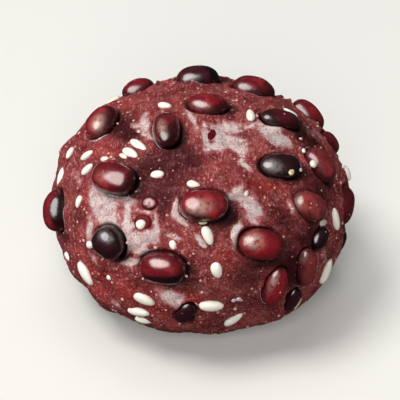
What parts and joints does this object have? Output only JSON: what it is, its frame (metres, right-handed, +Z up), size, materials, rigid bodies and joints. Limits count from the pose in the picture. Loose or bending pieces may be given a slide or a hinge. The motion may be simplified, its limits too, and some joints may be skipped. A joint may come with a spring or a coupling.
{
  "type": "ohagi",
  "caption": "Whole round ohagi, a slightly flattened ball of coarse sweet red-bean paste with whole beans half sunk in it and pale grains bedded in its surface.",
  "frame": {"origin": "centre of the small flat foot under the ball, where it rests", "axes": "+Z up through the ball, +X to the right and -Y towards the viewer of the side with the most beans"},
  "size_m": [0.0605, 0.061, 0.0427],
  "materials": {
    "paste": "coarse mashed red-bean paste, moist satin maroon with paler starchy patches and cream grains",
    "red_bean": "glossy deep red skin of a cooked bean",
    "black_bean": "glossy near-black skin of a cooked bean"
  },
  "bodies": {
    "root": {"paste_ball": "paste", "red_bean_01": "red_bean", "red_bean_02": "red_bean", "red_bean_03": "red_bean", "red_bean_04": "red_bean", "red_bean_05": "red_bean", "red_bean_06": "red_bean", "red_bean_07": "red_bean", "red_bean_08": "red_bean", "red_bean_09": "red_bean", "red_bean_10": "red_bean", "red_bean_11": "red_bean", "red_bean_12": "red_bean", "red_bean_13": "red_bean", "red_bean_14": "red_bean", "red_bean_15": "red_bean", "red_bean_16": "red_bean", "red_bean_17": "red_bean", "red_bean_18": "red_bean", "red_bean_19": "red_bean", "red_bean_20": "red_bean", "red_bean_21": "red_bean", "red_bean_22": "red_bean", "red_bean_23": "red_bean", "red_bean_24": "red_bean", "red_bean_25": "red_bean", "red_bean_26": "red_bean", "red_bean_27": "red_bean", "red_bean_28": "red_bean", "black_bean_01": "black_bean", "black_bean_02": "black_bean", "black_bean_03": "black_bean", "black_bean_04": "black_bean", "black_bean_05": "black_bean", "black_bean_06": "black_bean", "black_bean_07": "black_bean", "black_bean_08": "black_bean", "black_bean_09": "black_bean", "black_bean_10": "black_bean"}
  },
  "joints": []
}
